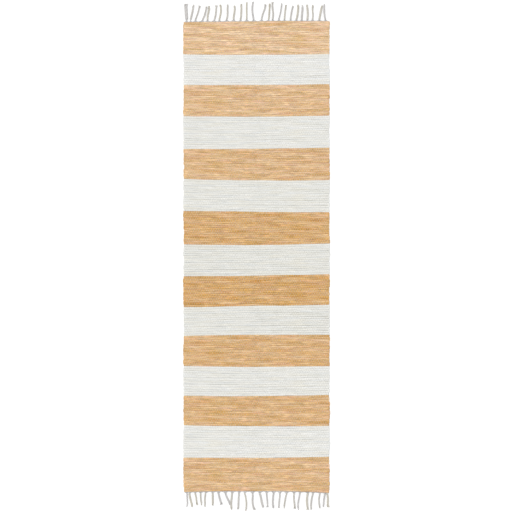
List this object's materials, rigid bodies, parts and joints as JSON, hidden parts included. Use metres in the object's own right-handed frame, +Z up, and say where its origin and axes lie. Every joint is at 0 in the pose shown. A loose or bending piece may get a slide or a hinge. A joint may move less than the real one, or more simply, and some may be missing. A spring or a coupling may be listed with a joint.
{
  "type": "runner rug",
  "caption": "Long narrow flat-woven striped floor rug with a tied fringe at each end; it lies flat on a floor, and its ends and fringes fold over.",
  "frame": {"origin": "on the floor, under the centre of the rug", "axes": "+X across the rug to the right selvedge, +Y along the rug to its far end, +Z up"},
  "size_m": [0.756, 2.655, 0.008],
  "materials": {
    "tan_weft": "matt dyed cotton weft, streaked beige to golden tan",
    "white_weft": "matt natural off-white cotton weft",
    "warp_cotton": "matt undyed cotton warp cord",
    "heading_cotton": "matt twined undyed cotton",
    "fringe_cotton": "matt twisted undyed cotton, greyish"
  },
  "bodies": {
    "middle_panel": {"white_band_2": "white_weft", "tan_band_3": "tan_weft", "white_band_3": "white_weft", "tan_band_4": "tan_weft", "white_band_4": "white_weft", "tan_band_5": "tan_weft", "white_band_5": "white_weft", "tan_band_6": "tan_weft", "white_band_6": "white_weft", "middle_warp_bundles": "warp_cotton", "middle_left_selvedge_cord": "warp_cotton", "middle_right_selvedge_cord": "warp_cotton"},
    "far_panel": {"tan_band_1": "tan_weft", "white_band_1": "white_weft", "tan_band_2": "tan_weft", "far_warp_bundles": "warp_cotton", "far_left_selvedge_cord": "warp_cotton", "far_right_selvedge_cord": "warp_cotton", "far_heading": "heading_cotton"},
    "near_panel": {"tan_band_7": "tan_weft", "white_band_7": "white_weft", "tan_band_8": "tan_weft", "near_warp_bundles": "warp_cotton", "near_left_selvedge_cord": "warp_cotton", "near_right_selvedge_cord": "warp_cotton", "near_heading": "heading_cotton"},
    "far_fringe": {"far_knots": "fringe_cotton", "far_tassels": "fringe_cotton"},
    "near_fringe": {"near_knots": "fringe_cotton", "near_tassels": "fringe_cotton"}
  },
  "joints": [
    {"name": "far_fold", "type": "hinge", "parent": "middle_panel", "child": "far_panel", "pos_m": [0, 0.7285, 0.0103], "axis": [1, 0, 0], "range_deg": [0, 180]},
    {"name": "near_fold", "type": "hinge", "parent": "middle_panel", "child": "near_panel", "pos_m": [0, -0.7215, 0.0103], "axis": [-1, 0, 0], "range_deg": [0, 180]},
    {"name": "far_fringe_flip", "type": "hinge", "parent": "far_panel", "child": "far_fringe", "pos_m": [0, 1.2305, 0.00715], "axis": [1, 0, 0], "range_deg": [0, 180]},
    {"name": "near_fringe_flip", "type": "hinge", "parent": "near_panel", "child": "near_fringe", "pos_m": [0, -1.2305, 0.00715], "axis": [-1, 0, 0], "range_deg": [0, 180]}
  ]
}
